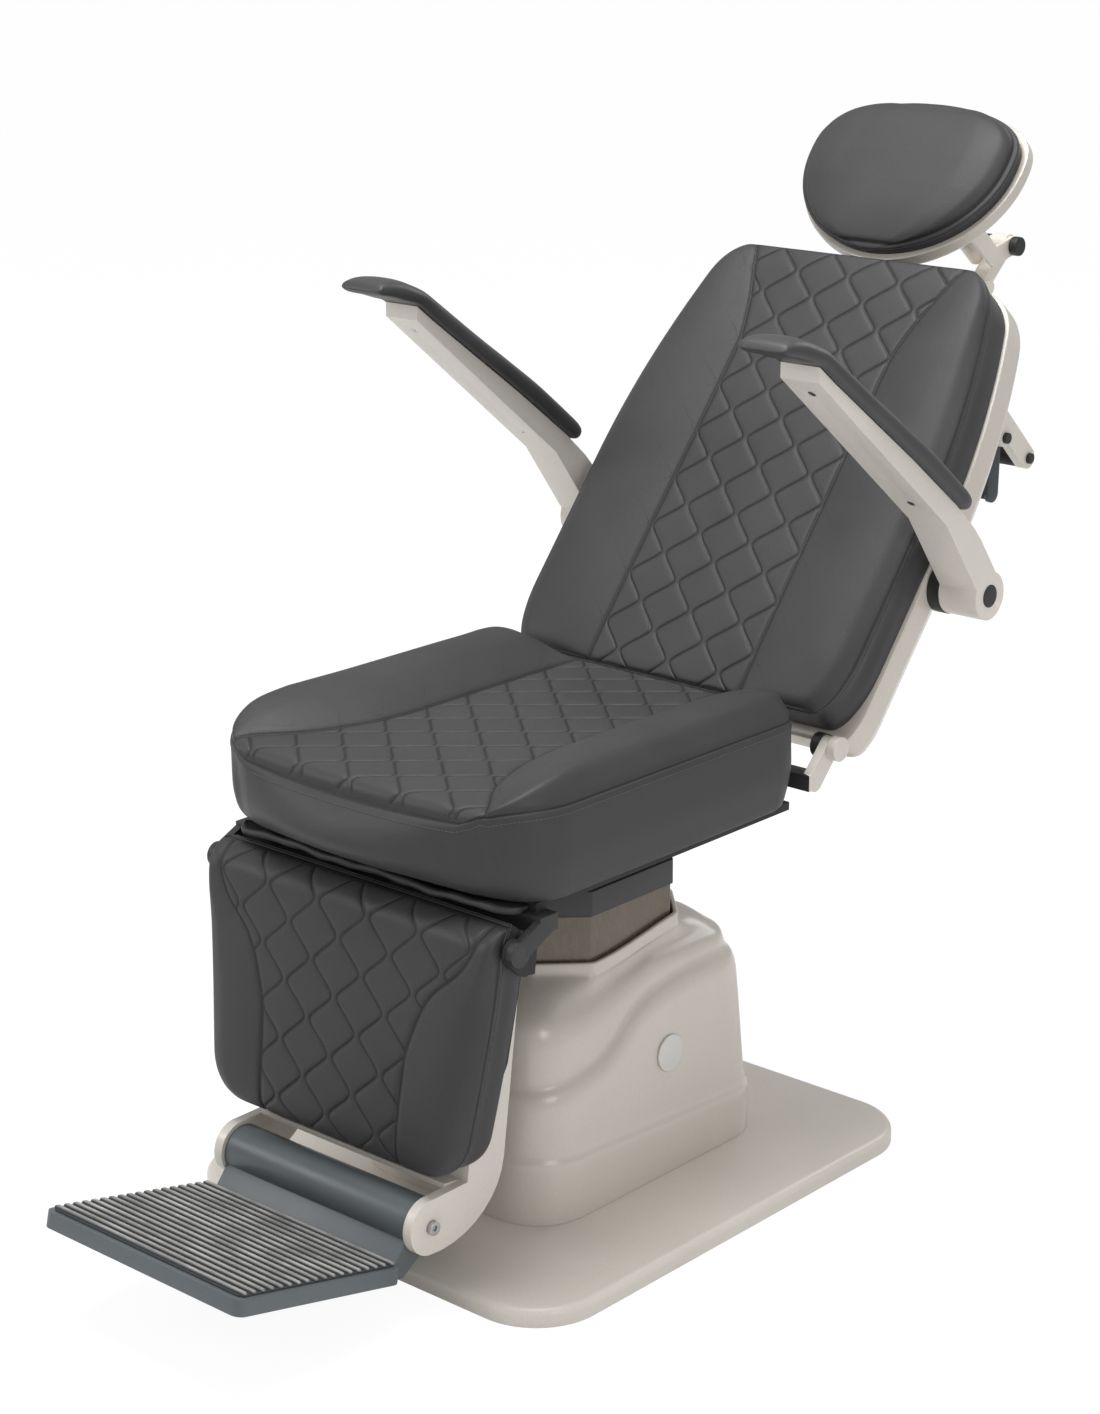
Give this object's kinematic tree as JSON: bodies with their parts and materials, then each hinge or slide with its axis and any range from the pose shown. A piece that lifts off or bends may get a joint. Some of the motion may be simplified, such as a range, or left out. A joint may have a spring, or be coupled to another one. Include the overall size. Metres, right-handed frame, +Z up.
{
  "type": "ophthalmic examination chair",
  "caption": "Powered examination chair: lifting swivel base, quilted seat, reclining back with flip-up arms, sliding headrest, and raising legrest with a folding ribbed footrest.",
  "frame": {"origin": "on the floor, on the axis of the lift column", "axes": "+Z up, the sitter faces -Y, +X to the sitter's left"},
  "size_m": [0.686, 1.613, 1.2342],
  "materials": {
    "cream_paint": "satin powder coat, warm light grey",
    "cream_casting": "cast, satin powder coat, warm light grey",
    "dark_alloy": "matt dark paint",
    "cream_moulding": "satin moulded plastic, warm light grey",
    "badge": "blank, satin",
    "steel": "machined",
    "dark_steel": "matt dark paint",
    "black_plastic": "fine grain",
    "black_tube": "satin black",
    "board": "painted black",
    "shroud_brown": "satin brown grey",
    "collar_grey": "fine grain",
    "pump_grey": "satin",
    "slate_blue": "satin",
    "footrest_slate": "cast, satin slate paint, worn at the edges",
    "rib_mat": "ribbed, worn light on top",
    "grey_vinyl": "matt leathercloth with fine grain, quilted and top-stitched"
  },
  "bodies": {
    "base": {"base_plate": "cream_paint", "base_cover": "cream_moulding", "cover_badge": "badge", "column_outer": "steel", "column_bolts": "steel", "guide_ring": "black_plastic", "lift_cylinder": "steel", "pump_unit": "pump_grey", "power_inlet": "black_plastic"},
    "lift": {"column_inner": "steel", "lift_rod": "steel", "column_shroud": "shroud_brown", "shroud_collar": "collar_grey", "bearing_lower": "steel"},
    "seat": {"bearing_upper": "dark_steel", "turntable": "dark_steel", "seat_frame": "dark_steel", "recline_lock": "cream_paint", "seat_pan": "board", "seat_cushion": "grey_vinyl", "hinge_flap": "grey_vinyl"},
    "legrest": {"legrest_axle": "steel", "legrest_panel": "board", "legrest_frame": "cream_paint", "legrest_cushion": "grey_vinyl", "footrest_shaft": "steel", "footrest_bolts": "steel"},
    "footrest": {"footrest": "footrest_slate", "footrest_ribs": "rib_mat"},
    "back": {"recline_pins": "steel", "back_frame": "dark_alloy", "back_shell": "cream_moulding", "back_cushion": "grey_vinyl", "arm_shafts": "steel", "arm_collars": "black_plastic", "headrest_guide": "cream_paint", "handle_arms": "cream_paint", "handle_grip": "black_tube", "handle_bolts": "black_plastic", "lever_bolts": "black_plastic", "lever_springs": "steel"},
    "lever": {"lever_arms": "slate_blue", "lever_tube": "black_tube"},
    "arm_left": {"arm_bracket_left": "cream_casting", "arm_pad_left": "grey_vinyl", "arm_cap_left": "black_plastic", "pad_screws_left": "steel"},
    "arm_right": {"arm_bracket_right": "cream_casting", "arm_pad_right": "grey_vinyl", "arm_cap_right": "black_plastic", "pad_screws_right": "steel"},
    "headrest_post": {"headrest_post": "cream_paint", "neck_screw": "steel"},
    "headrest": {"headrest_blade": "cream_paint", "headrest_pin": "steel", "headrest_knobs": "black_plastic", "headrest_shell": "cream_moulding", "headrest_cushion": "grey_vinyl"}
  },
  "joints": [
    {"name": "lift_slide", "type": "slide", "parent": "base", "child": "lift", "axis": [0, 0, 1], "range_m": [0, 0.2]},
    {"name": "seat_swivel", "type": "hinge", "parent": "lift", "child": "seat", "pos_m": [0, 0, 0.403], "axis": [0, 0, 1], "range_deg": [-175, 175]},
    {"name": "legrest_hinge", "type": "hinge", "parent": "seat", "child": "legrest", "pos_m": [0, -0.343, 0.434], "axis": [-1, 0, 0], "range_deg": [-5, 70]},
    {"name": "footrest_fold", "type": "hinge", "parent": "legrest", "child": "footrest", "pos_m": [0, -0.40405, 0.10625], "axis": [-1, 0, 0], "range_deg": [0, 77]},
    {"name": "back_recline", "type": "hinge", "parent": "seat", "child": "back", "pos_m": [0, 0.205, 0.535], "axis": [-1, 0, 0], "range_deg": [-30, 45]},
    {"name": "release_lever", "type": "hinge", "parent": "back", "child": "lever", "pos_m": [0, 0.63951, 0.83257], "axis": [1, 0, 0], "range_deg": [0, 25], "stiffness_Nm_per_rad": 2, "springref_deg": -11.46},
    {"name": "arm_left_flip", "type": "hinge", "parent": "back", "child": "arm_left", "pos_m": [-0.306, 0.39965, 0.69724], "axis": [-1, 0, 0], "range_deg": [0, 95]},
    {"name": "arm_right_flip", "type": "hinge", "parent": "back", "child": "arm_right", "pos_m": [0.306, 0.39965, 0.69724], "axis": [-1, 0, 0], "range_deg": [0, 95]},
    {"name": "headrest_slide", "type": "slide", "parent": "back", "child": "headrest_post", "axis": [0, 0.6361, 0.7716], "range_m": [0, 0.09]},
    {"name": "headrest_tilt", "type": "hinge", "parent": "headrest_post", "child": "headrest", "pos_m": [0, 0.90452, 1.03142], "axis": [-1, 0, 0], "range_deg": [0, 50]}
  ]
}
